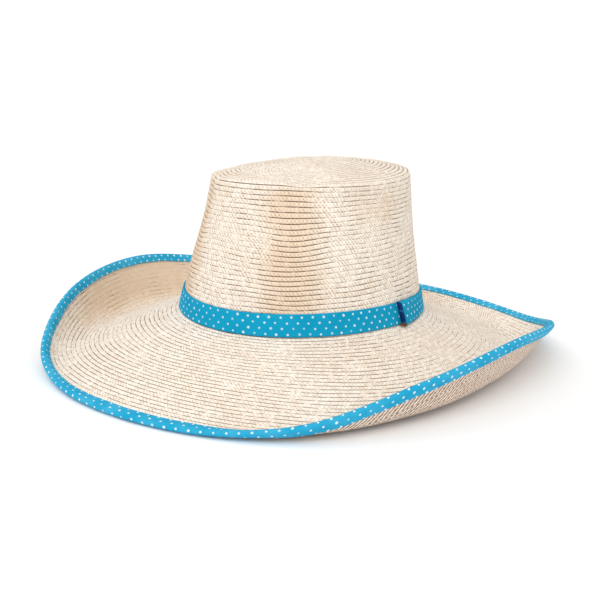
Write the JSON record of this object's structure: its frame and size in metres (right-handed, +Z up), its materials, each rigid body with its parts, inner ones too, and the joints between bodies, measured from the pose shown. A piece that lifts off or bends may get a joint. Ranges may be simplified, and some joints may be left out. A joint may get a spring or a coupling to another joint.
{
  "type": "palm leaf hat",
  "caption": "Wide-brimmed hat of sewn palm braid with rolled sides, a pinched flat-topped crown and a dotted cotton band and brim binding.",
  "frame": {"origin": "on the surface that the hat rests on, under the middle of its box", "axes": "+Z up from that surface, -Y to the front of the hat, +X to the wearer's left"},
  "size_m": [0.3534, 0.4018, 0.1436],
  "materials": {
    "straw": "matt sewn palm braid",
    "cotton": "plain woven cotton, bright blue with small white dots"
  },
  "bodies": {
    "root": {"crown": "straw", "brim": "straw", "hatband": "cotton", "band_lap": "cotton", "brim_binding": "cotton"}
  },
  "joints": []
}
